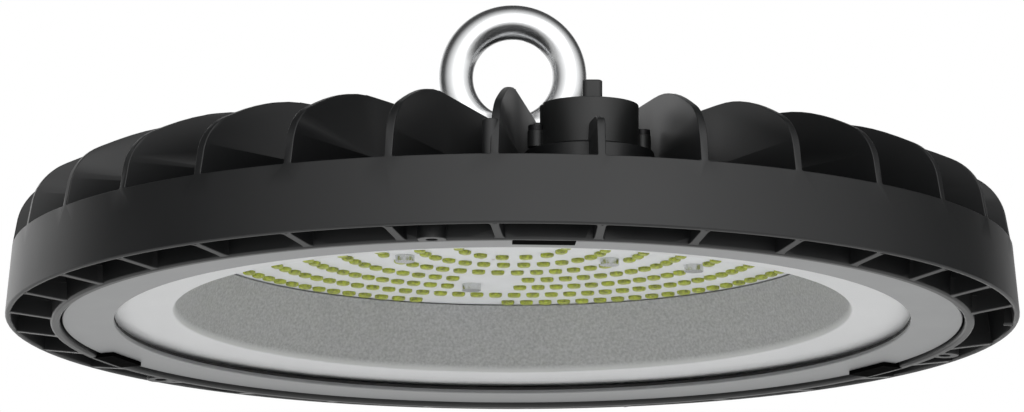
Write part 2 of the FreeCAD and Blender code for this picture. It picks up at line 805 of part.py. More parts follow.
def board_screws():
    body = new_body("board_screws")
    for row in ("outer", "inner"):
        screws(body, row.title() + "Screw", "0", row + "_screw_reach", row + "_screw_angle",
               row + "_screw_count", "board_screw_head", "board_screw_head_height",
               "board_screw_shank", "board_screw_length", head_down=True)
    place(body, up="board_bottom")
    return body


def screw_places():
    """Where the board's screws come through, as points in plan."""
    places = []
    for row in ("outer", "inner"):
        count = int(number(row + "_screw_count"))
        for index in range(count):
            angle = math.radians(number(row + "_screw_angle") + 360 * index / count)
            reach = number(row + "_screw_reach")
            places.append(FreeCAD.Vector(reach * math.cos(angle), reach * math.sin(angle), 0))
    return places


def led_chips():
    """Square-cornered chips in rings, left out where screws and tracks need the room."""
    length, width, height = number("chip_length"), number("chip_width"), number("chip_height")
    chip = Part.makeBox(width, length, height, FreeCAD.Vector(-width / 2, -length / 2, -height))
    taken = screw_places()
    chips = []
    for ring, (count, first) in enumerate(CHIP_RINGS):
        reach = number("first_chip_ring") + ring * number("chip_ring_pitch")
        for index in range(count):
            angle = first + 360 * index / count
            middle = FreeCAD.Vector(reach, 0, 0)
            turned = FreeCAD.Rotation(FreeCAD.Vector(0, 0, 1), angle)
            spot = turned.multVec(middle)
            blank = any(item[0] == ring and item[1] <= angle <= item[2] or
                        item[0] == ring and item[1] <= angle - 360 <= item[2] for item in CHIP_BLANKS)
            crowded = any((spot - other).Length < CHIP_SCREW_ROOM for other in taken)
            if not blank and not crowded:
                chips.append(chip.transformed(FreeCAD.Placement(spot, turned).toMatrix()))
    feature = doc.addObject("Part::Feature", "led_chips")
    feature.Label = "led_chips"
    feature.Shape = Part.makeCompound(chips)
    place(feature, up="board_bottom")
    return feature


# Lid of the driver well, its gasket and screws

def driver_cover():
    body = new_body("driver_cover")
    profile = outline(new_sketch(body, "LidProfile", "XZ_Plane"), (
        ("eye_shank_radius + eye_shank_gap", "-lid_gasket_thickness"),
        ("hub_radius", "-lid_gasket_thickness"),
        ("hub_radius", "0"),
        ("lid_radius", "0"),
        ("lid_radius", "lid_thickness - band_chamfer"),
        ("lid_radius - band_chamfer", "lid_thickness"),
        ("lid_boss_radius + lid_boss_slope", "lid_thickness"),
        ("lid_boss_radius", "lid_thickness + lid_boss_height"),
        ("eye_shank_radius + eye_shank_gap", "lid_thickness + lid_boss_height"),
    ))
    spin(body, profile)
    drill(body, "LidScrewHole", "lid_thickness", "lid_screw_reach", "lid_screw_angle",
          "lid_screw_shank + board_screw_gap", "lid_thickness", "lid_screw_count")
    drill(body, "LidSink", "lid_thickness", "lid_screw_reach", "lid_screw_angle",
          "lid_screw_head + lid_screw_gap", "lid_screw_head_height", "lid_screw_count")
    place(body, up="lid_bottom")
    return body


def cover_gasket():
    body = new_body("cover_gasket")
    ring = circle(new_sketch(body, "LidGasket", "XY_Plane"), "0", "0", "lid_radius")
    circle(ring, "0", "0", "lid_gasket_inner")
    extrude(body, ring, "lid_gasket_thickness")
    drill(body, "LidGasketHole", "lid_gasket_thickness", "lid_screw_reach", "lid_screw_angle",
          "lid_screw_shank + board_screw_gap", "lid_gasket_thickness", "lid_screw_count")
    place(body, up="well_top")
    return body


def cover_screws():
    body = new_body("cover_screws")
    screws(body, "LidScrew", "0", "lid_screw_reach", "lid_screw_angle", "lid_screw_count",
           "lid_screw_head", "lid_screw_head_height", "lid_screw_shank", "lid_screw_length")
    place(body, up="lid_top - lid_screw_head_height")
    return body


# Ring eye bolt: a forged ring on a collar, with a shank that screws into the hub

def eye_bolt():
    body = new_body("eye_bolt")
    profile = outline(new_sketch(body, "EyeStem", "XZ_Plane"), (
        ("0", "-eye_shank_length"),
        ("eye_shank_radius", "-eye_shank_length"),
        ("eye_shank_radius", "0"),
        ("eye_collar_radius", "0"),
        ("eye_collar_radius", "eye_collar_height"),
        ("eye_neck_radius", "eye_neck_height", "-(eye_collar_radius - eye_neck_radius) * 2"),
        ("0", "eye_neck_height"),
    ))
    spin(body, profile)
    ring = body.newObject("PartDesign::AdditiveTorus", "EyeRing")
    ring.AttachmentSupport = [(origin_item(body, "XZ_Plane"), "")]
    ring.MapMode = "FlatFace"
    bind(ring, "AttachmentOffset.Base.y", "eye_outer")
    bind(ring, "Radius1", "(eye_outer + eye_inner) / 2")
    bind(ring, "Radius2", "(eye_outer - eye_inner) / 2")
    check_change(body, ring, 1)
    place(body, up="eye_seat")
    return body


def eye_bolt_seal():
    body = new_body("eye_bolt_seal")
    ring = circle(new_sketch(body, "EyeSeal", "XY_Plane"), "0", "0", "eye_collar_radius")
    circle(ring, "0", "0", "eye_shank_radius + eye_shank_gap")
    extrude(body, ring, "eye_seal_thickness")
    place(body, up="lid_boss_top")
    return body


# Driver in its well: insulating sheet, board, parts and screws

def insulation_sheet():
    body = new_body("insulation_sheet")
    ring = circle(new_sketch(body, "Sheet", "XY_Plane"), "0", "0", "sheet_radius")
    circle(ring, "0", "0", "hub_radius + sheet_gap")
    extrude(body, ring, "sheet_thickness")
    drill(body, "SheetPostHole", "sheet_thickness", "post_reach", "post_angle", "post_radius + sheet_gap",
          "sheet_thickness", "post_count")
    drill(body, "SheetLinkHole", "sheet_thickness", "link_reach", "link_angle", "link_radius + 2 * link_gap",
          "sheet_thickness", "1")
    place(body, up="plate_top")
    return body


def driver_board():
    body = new_body("driver_board")
    ring = circle(new_sketch(body, "DriverDisc", "XY_Plane"), "0", "0", "driver_radius")
    circle(ring, "0", "0", "driver_hole")
    extrude(body, ring, "driver_thickness")
    drill(body, "DriverHole", "driver_thickness", "post_reach", "post_angle",
          "driver_screw_shank + board_screw_gap", "driver_thickness", "post_count")
    pins = new_sketch(body, "DriverPinHoles", "XY_Plane", "driver_thickness", "link_angle")
    for side in ("link_pin_pitch / 2", "-link_pin_pitch / 2"):
        circle(pins, "link_reach", side, "link_pin_radius + link_pin_gap")
    extrude(body, pins, "driver_thickness", "Pocket")
    place(body, up="driver_bottom")
    return body


def driver_screws():
    body = new_body("driver_screws")
    screws(body, "DriverScrew", "0", "post_reach", "post_angle", "post_count", "driver_screw_head",
           "driver_screw_head_height", "driver_screw_shank", "driver_screw_length")
    place(body, up="driver_top")
    return body


def transformer_core():
    """A ferrite frame with a limb in its middle, which the coil holds off the board."""
    body = new_body("transformer_core")
    sketch = box_outline(
        new_sketch(body, "CoreFrame", "XY_Plane"),
        "-core_length / 2", "core_length / 2", "-core_width / 2", "core_width / 2")
    for start in ("core_limb / 2", "-core_limb / 2 - core_window"):
        box_outline(sketch, start, start + " + core_window",
                    "-core_width / 2 + core_limb", "core_width / 2 - core_limb")
    extrude(body, sketch, "core_height")
    place(body, back="-core_reach", up="driver_top + coil_proud")
    return body


def transformer_coil():
    """The winding round the middle limb, through both windows and over and under the limb."""
    body = new_body("transformer_coil")
    half = "core_limb / 2 + core_window - coil_gap"
    slot = "core_limb / 2 + coil_gap"
    sketch = new_sketch(body, "CoilRing", "XZ_Plane")
    box_outline(sketch, "-(%s)" % half, half, "0", "core_height + 2 * coil_proud")
    box_outline(sketch, "-(%s)" % slot, slot, "coil_proud - coil_gap", "coil_proud + core_height + coil_gap")
    extrude(body, sketch, "core_width - 2 * core_limb - 2 * coil_gap", middle=True)
    place(body, back="-core_reach", up="driver_top")
    return body


def bulk_capacitors():
    body = new_body("bulk_capacitors")
    can = extrude(body, ring_circles(body, "Can", "0", "can_reach", "can_angle", "can_radius"), "can_height")
    repeat(body, [can], "can_count", "can_spread")
    place(body, up="driver_top")
    return body


def line_choke():
    body = new_body("line_choke")
    ring = circle(new_sketch(body, "Choke", "XY_Plane"), "0", "0", "choke_outer")
    circle(ring, "0", "0", "choke_inner")
    extrude(body, ring, "choke_height")
    place(body, across="choke_reach", up="driver_top")
    return body


def terminal_block():
    body = new_body("terminal_block")
    sketch = box_outline(
        new_sketch(body, "Block", "XY_Plane"),
        "-block_length / 2", "block_length / 2", "-block_width / 2", "block_width / 2")
    extrude(body, sketch, "block_height")
    ports = new_sketch(body, "BlockPorts", "XZ_Plane", "-block_width / 2")
    for place_across in ("-block_port_pitch", "0", "block_port_pitch"):
        circle(ports, place_across, "block_height / 2", "block_port")
    extrude(body, ports, "block_port_depth", "Pocket", back=True)
    place(body, back="block_reach", up="driver_top")
    return body


# Link from the driver board to the chip board

def link_bush():
    body = new_body("link_bush")
    disc = circle(new_sketch(body, "Bush", "XY_Plane"), "0", "0", "link_radius")
    for side in ("link_pin_pitch / 2", "-link_pin_pitch / 2"):
        circle(disc, "0", side, "link_pin_radius + link_pin_gap")
    extrude(body, disc, "driver_bottom - board_top")
    place(body, "link_reach * cos(link_angle)", "link_reach * sin(link_angle)", "board_top", "link_angle")
    return body


def link_pins():
    body = new_body("link_pins")
    pins = new_sketch(body, "Pins", "XY_Plane")
    for side in ("link_pin_pitch / 2", "-link_pin_pitch / 2"):
        circle(pins, "0", side, "link_pin_radius")
    extrude(body, pins, "driver_top - board_bottom + link_pin_proud")
    place(body, "link_reach * cos(link_angle)", "link_reach * sin(link_angle)", "board_bottom", "link_angle")
    return body


# Supply inlet: a nylon gland through the well's wall, each piece drawn along +Y and then turned

def place_inlet(body):
    place(body, "-fin_offset * cos(inlet_turn)", "-fin_offset * sin(inlet_turn)", "inlet_height", "inlet_turn")


def inlet_sketch(body, name, start):
    """A sketch across the inlet's line, at a distance out along it."""
    return new_sketch(body, name, "XZ_Plane", "-(%s)" % start)


def gland_body():
    body = new_body("gland_body")
    parts = (
        ("GlandThread", "well_radius - inlet_gap", "inlet_hex_start", "inlet_radius"),
        ("GlandNeck", "inlet_hex_end", "inlet_hex_end + inlet_neck_length", "inlet_neck_radius"),
    )
    hexed = hexagon(inlet_sketch(body, "GlandHex", "inlet_hex_start"), "0", "0", "inlet_flats")
    extrude(body, hexed, "inlet_hex_length", back=True)
    for name, start, end, radius in parts:
        sketch = circle(inlet_sketch(body, name, start), "0", "0", radius)
        extrude(body, sketch, "%s - (%s)" % (end, start), back=True)
    bore = circle(inlet_sketch(body, "GlandBore", "inlet_hex_end + inlet_neck_length"), "0", "0", "inlet_bore")
    extrude(body, bore, "inlet_hex_end + inlet_neck_length - well_radius + 2 * inlet_gap", "Pocket", back=True)
    place_inlet(body)
    return body


def gland_seal():
    body = new_body("gland_seal")
    ring = circle(inlet_sketch(body, "GlandSeal", "inlet_pad_reach"), "0", "0", "inlet_seal_radius")
    circle(ring, "0", "0", "inlet_radius + inlet_gap")
    extrude(body, ring, "inlet_seal_thickness", back=True)
    place_inlet(body)
    return body


def gland_insert():
    """The rubber grip that closes on the cable, inside the neck and the nut's mouth."""
    body = new_body("gland_insert")
    ring = circle(inlet_sketch(body, "GlandInsert", "inlet_hex_end"), "0", "0", "inlet_bore - inlet_gap")
    circle(ring, "0", "0", "inlet_grip_bore")
    extrude(body, ring, "inlet_neck_length", back=True)
    place_inlet(body)
    return body


def gland_nut():
    body = new_body("gland_nut")
    start = "inlet_hex_end + inlet_gap"
    hexed = hexagon(inlet_sketch(body, "NutHex", start), "0", "0", "inlet_nut_flats")
    extrude(body, hexed, "inlet_nut_length", back=True)
    dome = circle(inlet_sketch(body, "NutDome", start + " + inlet_nut_length"), "0", "0", "inlet_dome_radius")
    extrude(body, dome, "inlet_dome_length", back=True)
    inside = circle(inlet_sketch(body, "NutInside", start), "0", "0", "inlet_neck_radius + inlet_gap")
    extrude(body, inside, "inlet_neck_length + inlet_gap", "Pocket")
    mouth = circle(inlet_sketch(body, "NutMouth", start), "0", "0", "inlet_mouth")
    extrude(body, mouth, "inlet_nut_length + inlet_dome_length", "Pocket")
    place_inlet(body)
    return body


# Control port: gasket, socket, cap and screws on the boss between the fins

def place_port(body, up):
    place(body, "port_reach * cos(port_angle)", "port_reach * sin(port_angle)", up, "port_angle")


def port_gasket():
    body = new_body("port_gasket")
    ring = circle(new_sketch(body, "PortGasket", "XY_Plane"), "0", "0", "port_cap_radius")
    circle(ring, "0", "0", "port_gasket_inner")
    extrude(body, ring, "port_gasket_thickness")
    place_port(body, "plate_top")
    return body


def port_socket():
    body = new_body("port_socket")
    disc = circle(new_sketch(body, "Socket", "XY_Plane"), "0", "0", "socket_radius")
    extrude(body, disc, "socket_height")
    drill(body, "SocketPin", "socket_height", "socket_pin_reach", "0", "socket_pin_hole",
          "socket_pin_depth", "socket_pin_count")
    place_port(body, "plate_top")
    return body


def port_cap():
    body = new_body("port_cap")
    disc = circle(new_sketch(body, "CapDisc", "XY_Plane"), "0", "0", "port_cap_radius")
    extrude(body, disc, "port_cap_height")
    ears = new_sketch(body, "CapEars", "XY_Plane")
    for side in ("port_ear_reach", "-port_ear_reach"):
        circle(ears, "0", side, "port_ear_radius")
    extrude(body, ears, "port_ear_height")
    grip = box_outline(
        new_sketch(body, "CapGrip", "XY_Plane", "port_cap_height"),
        "-port_grip_length / 2", "port_grip_length / 2", "-port_grip_width / 2", "port_grip_width / 2")
    extrude(body, grip, "port_grip_height")
    inside = circle(new_sketch(body, "CapInside", "XY_Plane"), "0", "0", "port_cap_radius - port_cap_wall")
    extrude(body, inside, "port_cap_height - port_cap_roof", "Pocket", back=True)
    holes = new_sketch(body, "CapHoles", "XY_Plane")
    for side in ("port_ear_reach", "-port_ear_reach"):
        circle(holes, "0", side, "port_screw_shank + port_screw_gap")
    extrude(body, holes, "port_ear_height", "Pocket", back=True)
    # A flute over each ear leaves room for the screw's head and the driver
    flutes = new_sketch(body, "CapFlutes", "XY_Plane", "port_ear_height")
    for side in ("port_ear_reach", "-port_ear_reach"):
        circle(flutes, "0", side, "port_screw_head + 2 * port_screw_gap")
    last = extrude(body, flutes, "port_cap_height", "Pocket", back=True)
    round_grip(body, last)
    place_port(body, "port_cap_bottom")
    return body


def round_grip(body, last):
    """Rounds the grip's upright corners and its top, and the cap's rim."""
    roof = number("port_cap_height")
    peak = roof + number("port_grip_height")
    names = []
    for index, edge in enumerate(last.Shape.Edges, start=1):
        box = edge.BoundBox
        upright = box.ZMin > roof - 0.01 and box.ZMax > peak - 0.01 and box.ZLength > 1
        if upright:
            names.append("Edge%d" % index)
    corners = body.newObject("PartDesign::Fillet", "GripCorners")
    corners.Base = (last, names)
    bind(corners, "Radius", "port_grip_round")
    doc.recompute()
    names = []
    for index, edge in enumerate(corners.Shape.Edges, start=1):
        box = edge.BoundBox
        rim = box.ZMin > roof - 0.01 and box.ZMax < roof + 0.01
        rim = rim and box.YLength > 2 * number("port_cap_radius") - 0.01
        if box.ZMin > peak - 0.01 or rim:
            names.append("Edge%d" % index)
    tops = body.newObject("PartDesign::Fillet", "GripTop")
    tops.Base = (corners, names)
    bind(tops, "Radius", "port_cap_round")
    doc.recompute()


def port_screws():
    body = new_body("port_screws")
    for name, lift, radius, height in (
        ("PortHead", "0", "port_screw_head", "port_screw_head_height"),
        ("PortShank", "-port_ear_height - port_gasket_thickness - port_screw_depth", "port_screw_shank",
         "port_ear_height + port_gasket_thickness + port_screw_depth"),
    ):
        sketch = new_sketch(body, name, "XY_Plane", lift)
        for side in ("port_ear_reach", "-port_ear_reach"):
            circle(sketch, "0", side, radius)
        extrude(body, sketch, height)
    place_port(body, "port_cap_bottom + port_ear_height")
    return body


PIECES = (
    heat_sink, trim_ring, ring_clips, lens_gasket, glass_lens, reflector,
    led_board, thermal_pad, board_screws, led_chips,
    driver_cover, cover_gasket, cover_screws, eye_bolt, eye_bolt_seal,
    insulation_sheet, driver_board, driver_screws, transformer_core, transformer_coil,
    bulk_capacitors, line_choke, terminal_block, link_bush, link_pins,
    gland_body, gland_seal, gland_insert, gland_nut,
    port_gasket, port_socket, port_cap, port_screws,
)

made = [piece() for piece in PIECES]
doc.recompute()

for item in doc.Objects:
    if "Invalid" in item.State or "Error" in item.State:
        raise RuntimeError("%s is %s" % (item.Label, item.State))
for item in made:
    if item.Shape.isNull() or not item.Shape.isValid():
        raise RuntimeError("%s has no valid shape" % item.Label)

os.makedirs("parts", exist_ok=True)
for item in made:
    item.Shape.exportStep("parts/%s.step" % item.Label)
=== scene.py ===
import math

import bmesh
import bpy
from mathutils import Matrix, Vector


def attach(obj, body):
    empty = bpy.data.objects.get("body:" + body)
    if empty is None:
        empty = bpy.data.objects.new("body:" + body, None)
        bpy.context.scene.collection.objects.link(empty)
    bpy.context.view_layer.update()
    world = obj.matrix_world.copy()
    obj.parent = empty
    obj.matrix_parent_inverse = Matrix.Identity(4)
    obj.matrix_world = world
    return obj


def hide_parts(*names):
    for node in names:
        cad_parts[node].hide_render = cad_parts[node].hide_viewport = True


# High bay light: a black die-cast heat sink with swirled fins, seen from a little below, so
# that the silver trim ring, the glass and the board of yellow chips behind it show.

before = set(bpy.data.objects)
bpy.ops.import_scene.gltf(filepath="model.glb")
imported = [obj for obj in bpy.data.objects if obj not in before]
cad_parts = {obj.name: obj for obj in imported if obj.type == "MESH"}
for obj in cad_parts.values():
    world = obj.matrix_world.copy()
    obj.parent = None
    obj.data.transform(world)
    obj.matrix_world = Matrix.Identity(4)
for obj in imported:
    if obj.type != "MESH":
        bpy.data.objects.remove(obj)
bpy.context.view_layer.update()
scene = bpy.context.scene
MM = 0.001


# Camera: a long lens far off and a little below the light, as product pictures are taken.
# The photograph is 1024 pixels wide and shows 3.25 pixels to each millimetre of the light.
PHOTO_WIDTH = 1024
PIXELS_PER_MM = 3.25
VIEW_ELEVATION = math.radians(-11.0)
VIEW_DISTANCE = 4.9
VIEW_END = 50.0
VIEW_CENTRE = Vector((-0.12, 0.0, 37.7)) * MM

camera = bpy.data.objects.new("camera", bpy.data.cameras.new("camera"))
scene.collection.objects.link(camera)
seen_width = PHOTO_WIDTH / PIXELS_PER_MM * MM
camera.data.lens = camera.data.sensor_width * VIEW_DISTANCE / seen_width
camera.data.clip_end = VIEW_END
toward_camera = Vector((0.0, -math.cos(VIEW_ELEVATION), math.sin(VIEW_ELEVATION)))
camera.location = VIEW_CENTRE + toward_camera * VIEW_DISTANCE
camera.rotation_euler = (-toward_camera).to_track_quat("-Z", "Y").to_euler()
scene.camera = camera
scene.view_settings.view_transform = "Standard"


# Studio: the background is white, also through glass, and plain soft light comes from all round.
# What mirrors sees a dark room instead, with a broad white board before the light and two behind
# it, which draw the bright edges on the black coat.
SOFT_LEVEL = 0.72
DARK_LEVEL = 0.06
BOARDS = (
    # degrees from the camera's side, brightness, and how near a direction must be to see it
    (15.0, 1.6, -0.1),
    (-153.0, 1.3, 0.7),
    (176.0, 0.85, 0.79),
)


def linear(code):
    """A colour in sRGB hex as the linear colour that a shader takes."""
    values = [int(code[place:place + 2], 16) / 255 for place in (1, 3, 5)]
    return [v / 12.92 if v <= 0.04045 else ((v + 0.055) / 1.055) ** 2.4 for v in values] + [1.0]


def add_node(tree, kind, inputs=None, **settings):
    """Adds one shader node with its settings, and sets or links its inputs."""
    made = tree.nodes.new(kind)
    for name, value in settings.items():
        setattr(made, name, value)
    for name, value in (inputs or {}).items():
        if isinstance(value, bpy.types.NodeSocket):
            tree.links.new(value, made.inputs[name])
        else:
            made.inputs[name].default_value = value
    return made


def studio_direction(degrees, up=0.0):
    """A level direction, turned from the camera's side towards +X, then raised."""
    azimuth = math.radians(degrees)
    return Vector((math.sin(azimuth), -math.cos(azimuth), up)).normalized()


world = bpy.data.worlds.new("studio")
scene.world = world
world.use_nodes = True
tree = world.node_tree
tree.nodes.clear()
ray = add_node(tree, "ShaderNodeTexCoord").outputs["Generated"]
level = DARK_LEVEL
for degrees, brightness, start in BOARDS:
    facing = add_node(tree, "ShaderNodeVectorMath", {
        0: ray, 1: studio_direction(degrees)}, operation="DOT_PRODUCT").outputs["Value"]
    board = add_node(tree, "ShaderNodeMapRange", {
        "Value": facing, "From Min": start, "From Max": 1.0, "To Max": brightness}).outputs["Result"]
    level = add_node(tree, "ShaderNodeMath", {0: level, 1: board}, operation="ADD").outputs[0]
path = add_node(tree, "ShaderNodeLightPath").outputs
paper_white = linear("#ffffff")
soft = add_node(tree, "ShaderNodeBackground", {"Color": paper_white, "Strength": SOFT_LEVEL})
room = add_node(tree, "ShaderNodeBackground", {"Color": paper_white, "Strength": level})
white = add_node(tree, "ShaderNodeBackground", {"Color": paper_white, "Strength": 1.0})
lit = add_node(tree, "ShaderNodeMixShader", {
    0: path["Is Glossy Ray"], 1: soft.outputs[0], 2: room.outputs[0]})
seen = add_node(tree, "ShaderNodeMath", {
    0: path["Is Camera Ray"], 1: path["Is Transmission Ray"]}, operation="MAXIMUM")
studio = add_node(tree, "ShaderNodeMixShader", {0: seen.outputs[0], 1: lit.outputs[0], 2: white.outputs[0]})
add_node(tree, "ShaderNodeOutputWorld", {"Surface": studio.outputs[0]})


# Lamps: a soft box above the camera's right shoulder, which gives the light its shaded side,
# and a broad one under the light, which reaches the glass and the bottom edges.
KEY_SIZE = 3.2
KEY_DISTANCE = 3.0
KEY_POWER = 17.0
KEY_DEGREES, KEY_UP = 16.0, 0.55
FILL_SIZE = 2.6
FILL_DROP = 1.15
FILL_POWER = 9.0


def soft_box(name, size, power, stand):
    """A square lamp that stands at a place and faces the light."""
    lamp = bpy.data.lights.new(name, "AREA")
    lamp.shape = "SQUARE"
    lamp.size = size
    lamp.energy = power
    box = bpy.data.objects.new(name, lamp)
    scene.collection.objects.link(box)
    box.location = stand
    box.rotation_euler = (-stand).to_track_quat("-Z", "Y").to_euler()


soft_box("key_softbox", KEY_SIZE, KEY_POWER, studio_direction(KEY_DEGREES, KEY_UP) * KEY_DISTANCE)
soft_box("low_fill", FILL_SIZE, FILL_POWER, Vector((0.0, 0.0, -FILL_DROP)))


# Floor: a pale studio floor of matte paper, well below the light, which hangs above it. It is
# see-through from its underside, so that a view from below isn't blocked.
FLOOR_DROP = 1.25
FLOOR_REACH = 9.0

work = bmesh.new()
bmesh.ops.create_grid(work, x_segments=1, y_segments=1, size=FLOOR_REACH,
                      matrix=Matrix.Translation((0.0, 0.0, -FLOOR_DROP)))
mesh = bpy.data.meshes.new("floor")
work.to_mesh(mesh)
work.free()
floor = bpy.data.objects.new("floor", mesh)
scene.collection.objects.link(floor)
floor_paper = bpy.data.materials.new("pale_floor_paper")
floor_paper.use_nodes = True
tree = floor_paper.node_tree
tree.nodes.clear()
paper = add_node(tree, "ShaderNodeBsdfDiffuse", {"Color": linear("#f4f4f3")})
clear = add_node(tree, "ShaderNodeBsdfTransparent")
underside = add_node(tree, "ShaderNodeNewGeometry").outputs["Backfacing"]
either = add_node(tree, "ShaderNodeMixShader", {0: underside, 1: paper.outputs[0], 2: clear.outputs[0]})
add_node(tree, "ShaderNodeOutputMaterial", {"Surface": either.outputs[0]})
floor.data.materials.append(floor_paper)


# Casting: the heat sink, one pressure die casting in aluminium with a rim band, thirty fins that
# swirl, the lens seat and the driver's well. The mould and the powder coat ease its edges.
CAST_EDGE = 0.28 * MM
COAT_LUMP = 45.0 * MM
ORANGE_PEEL, PEEL_DEPTH = 1.3 * MM, 0.012 * MM
LUMP_LOW, LUMP_HIGH = 0.3, 0.7
MERGE_WITHIN = 0.001 * MM
FLAT_WITHIN = math.radians(0.6)
CAST_SHARP = math.radians(30.0)


def surface_finish(name, lump, sockets=None, rough=None, colours=None, grit=None, depth=None):
    """
    A material named for its finish. The sockets are the shader's own constants. Roughness and
    colour run between two values over lumps of that width, and the grit is raised by the depth.
    """
    material = bpy.data.materials.new(name)
    material.use_nodes = True
    tree = material.node_tree
    tree.nodes.clear()
    shader = add_node(tree, "ShaderNodeBsdfPrincipled", sockets)
    add_node(tree, "ShaderNodeOutputMaterial", {"Surface": shader.outputs["BSDF"]})
    place = add_node(tree, "ShaderNodeTexCoord").outputs["Object"]
    lumps = add_node(tree, "ShaderNodeTexNoise", {"Vector": place, "Scale": 1.0 / lump}).outputs["Fac"]
    drift = {"Value": lumps, "From Min": LUMP_LOW, "From Max": LUMP_HIGH}
    if rough:
        spread = add_node(tree, "ShaderNodeMapRange", {**drift, "To Min": rough[0], "To Max": rough[1]})
        tree.links.new(spread.outputs["Result"], shader.inputs["Roughness"])
    if colours:
        share = add_node(tree, "ShaderNodeMapRange", drift).outputs["Result"]
        mix = add_node(tree, "ShaderNodeMix", data_type="RGBA", inputs={
            "Factor": share, 6: linear(colours[0]), 7: linear(colours[1])})
        tree.links.new(mix.outputs[2], shader.inputs["Base Color"])
    if grit:
        grains = add_node(tree, "ShaderNodeTexNoise", {"Vector": place, "Scale": 1.0 / grit}).outputs["Fac"]
        bump = add_node(tree, "ShaderNodeBump", {"Height": grains, "Distance": depth, "Strength": 1.0})
        tree.links.new(bump.outputs["Normal"], shader.inputs["Normal"])
    return material


def merged(node):
    """A CAD node's loose triangles as whole flat faces, in a bmesh of their own."""
    work = bmesh.new()
    work.from_mesh(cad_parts[node].data)
    bmesh.ops.remove_doubles(work, verts=work.verts, dist=MERGE_WITHIN)
    bmesh.ops.dissolve_limit(work, angle_limit=FLAT_WITHIN, verts=work.verts, edges=work.edges)
    return work


def piece_of(name, work, sharp, edge=0.0, segments=2):
    """A piece of the light from a bmesh made in place, with its sharp edges rounded."""
    mesh = bpy.data.meshes.new(name)
    work.to_mesh(mesh)
    work.free()
    mesh.shade_smooth()
    mesh.set_sharp_from_angle(angle=sharp)
    piece = bpy.data.objects.new(name, mesh)
    scene.collection.objects.link(piece)
    if edge:
        bevel = piece.modifiers.new("eased_edges", "BEVEL")
        bevel.width = edge
        bevel.segments = segments
        bevel.limit_method = "ANGLE"
        bevel.angle_limit = sharp
        bevel.harden_normals = True
    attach(piece, "root")
    return piece


def eased(name, node, edge=0.0, segments=2):
    """A merged copy of a CAD node that stands in its place, with its sharp edges rounded."""
    piece = piece_of(name, merged(node), CAST_SHARP, edge, segments)
    for bevel in piece.modifiers:
        bevel.use_clamp_overlap = False
        bevel.miter_outer = "MITER_ARC"
    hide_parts(node)
    return piece


def dress(piece, material):
    """Gives a piece its material."""
    if piece.data.materials:
        piece.data.materials[0] = material
    else:
        piece.data.materials.append(material)
    return piece


# Sprayed and baked polyester powder looks near black and matte, and its fine orange peel breaks
# up what it mirrors into a soft sheen along the band
powder_coat = surface_finish(
    "black_powder_coat", COAT_LUMP, {"IOR": 1.5}, rough=(0.40, 0.46), colours=("#0f1011", "#131415"),
    grit=ORANGE_PEEL, depth=PEEL_DEPTH)
casting = dress(eased("casting", "heat_sink", CAST_EDGE), powder_coat)

# The fins stand off the axis in the swirl, lean in above the band, more so the higher, and the
# one before the control port is cut low. Their sizes are in mm.
FIN_COUNT = 30
FIN_STEP = math.tau / FIN_COUNT
FIN_OFFSET = 13.8
FIN_HALF = 1.4
FIN_INSIDE, FIN_END = 60.5, 153.8
FIRST_FIN_END = math.radians(-92.0)
FIN_TURN = FIRST_FIN_END - math.asin(FIN_OFFSET / FIN_END)
LEAN = 4.6
LEAN_BOTTOM, LEAN_TOP = 25.0, 45.0
LEAN_INSIDE, LEAN_OUTSIDE = 112.0, 145.0
LOW_FIN = 1
LOW_FIN_BOTTOM, LOW_FIN_SHARE = 35.5, 0.3
for vert in casting.data.vertices:
    height = vert.co.z / MM
    reach = math.hypot(vert.co.x, vert.co.y) / MM
    if height < LEAN_BOTTOM or reach < FIN_INSIDE:
        continue
    past_first = math.atan2(vert.co.y, vert.co.x) - math.asin(FIN_OFFSET / reach) - FIN_TURN
    index = round(past_first / FIN_STEP)
    turn = Matrix.Rotation(FIN_TURN + index * FIN_STEP, 3, "Z")
    beside = (turn.transposed() @ vert.co).y / MM
    if abs(beside - FIN_OFFSET) > FIN_HALF:
        continue
    rise = (height - LEAN_BOTTOM) / (LEAN_TOP - LEAN_BOTTOM)
    share = max(0.0, min(1.0, (reach - LEAN_INSIDE) / (LEAN_OUTSIDE - LEAN_INSIDE)))
    vert.co -= turn @ Vector((LEAN * rise * share * MM, 0.0, 0.0))
    if index % FIN_COUNT == LOW_FIN and height > LOW_FIN_BOTTOM:
        vert.co.z = (LOW_FIN_BOTTOM + (height - LOW_FIN_BOTTOM) * LOW_FIN_SHARE) * MM


# Fin feet: under the gutter each fin broadens to a foot that falls from the band to the lens
# seat, and flares where it meets them. They are part of the casting; the cut spoke has none.
CUT_SPOKE = 8
FOOT_STATIONS = (
    # along the fin, height of the foot's bottom and half its width, in mm
    (140.6, 0.30, 2.1), (141.9, 0.45, 1.5), (143.4, 0.70, 1.3),
    (151.9, 2.05, 1.3), (153.2, 2.25, 1.5), (154.1, 2.40, 2.2),
)
FOOT_TOP = 6.0
FOOT_TAPER = 0.85
ADDED_EDGE = 0.3 * MM
ADDED_SHARP = math.radians(35.0)

